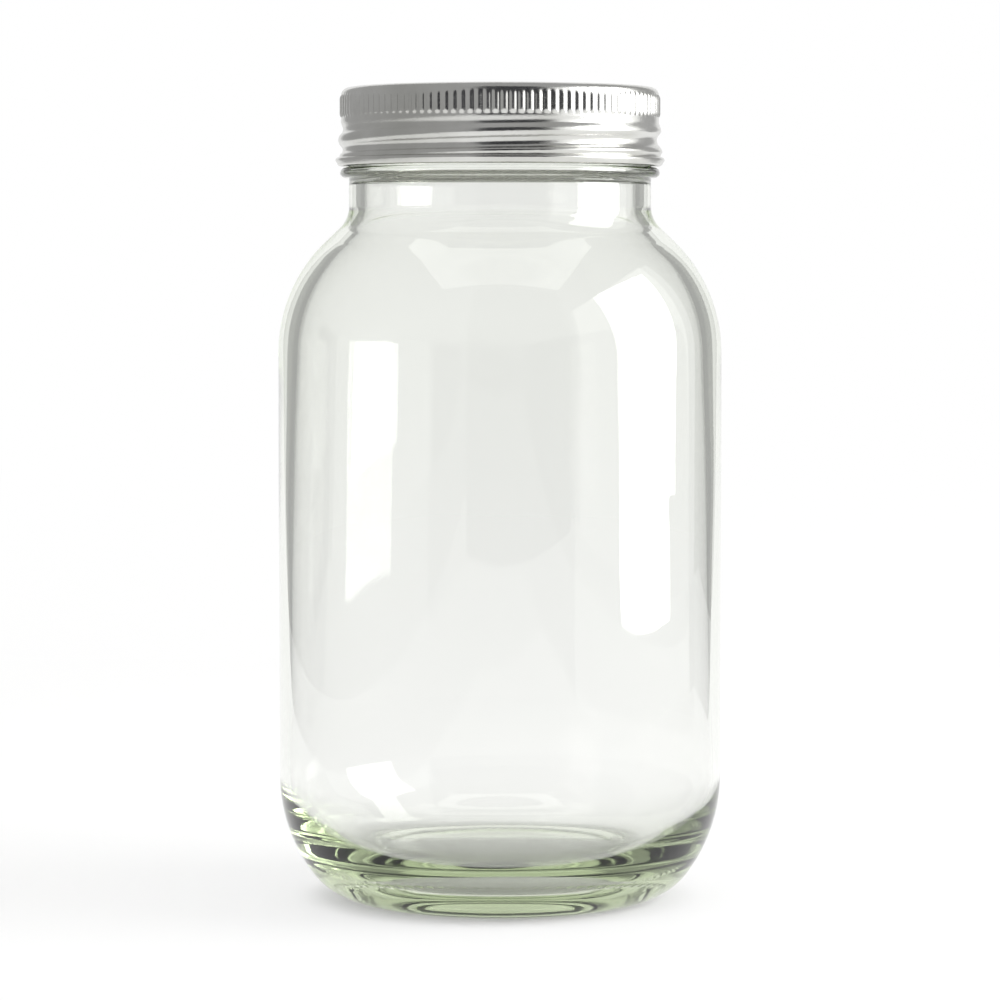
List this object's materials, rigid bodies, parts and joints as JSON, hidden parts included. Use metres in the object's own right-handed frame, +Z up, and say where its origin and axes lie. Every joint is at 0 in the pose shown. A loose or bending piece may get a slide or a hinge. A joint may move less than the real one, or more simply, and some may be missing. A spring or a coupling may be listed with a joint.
{
  "type": "glass starter jar",
  "caption": "Round clear glass jar with rounded shoulders, closed by a flat sealing lid and a knurled screw band that unscrews and rises along its thread.",
  "frame": {"origin": "on the jar's axis, at the surface that the bearing ring stands on", "axes": "+Z up along the jar's axis; +X to the right and +Y away in the pictured view"},
  "size_m": [0.0988, 0.0988, 0.1806],
  "materials": {
    "glass": "clear, gloss, faintly green where thick",
    "lid_metal": "satin tinned sheet",
    "seal": "matt flowed-in sealing compound",
    "band_metal": "satin tinned sheet"
  },
  "bodies": {
    "jar": {"glass_jar": "glass"},
    "lid": {"lid_disc": "lid_metal", "sealing_ring": "seal"},
    "band": {"screw_band": "band_metal"}
  },
  "joints": [
    {"name": "lid_lift", "type": "slide", "parent": "jar", "child": "lid", "axis": [0, 0, 1], "range_m": [0, 0.0204]},
    {"name": "band_turn", "type": "hinge", "parent": "lid", "child": "band", "pos_m": [0, 0, 0.172], "axis": [0, 0, 1], "range_deg": [0, 1440]}
  ],
  "couplings": [
    {"joint": "lid_lift", "follows": "band_turn", "m_per_rad": 0.00080851}
  ]
}
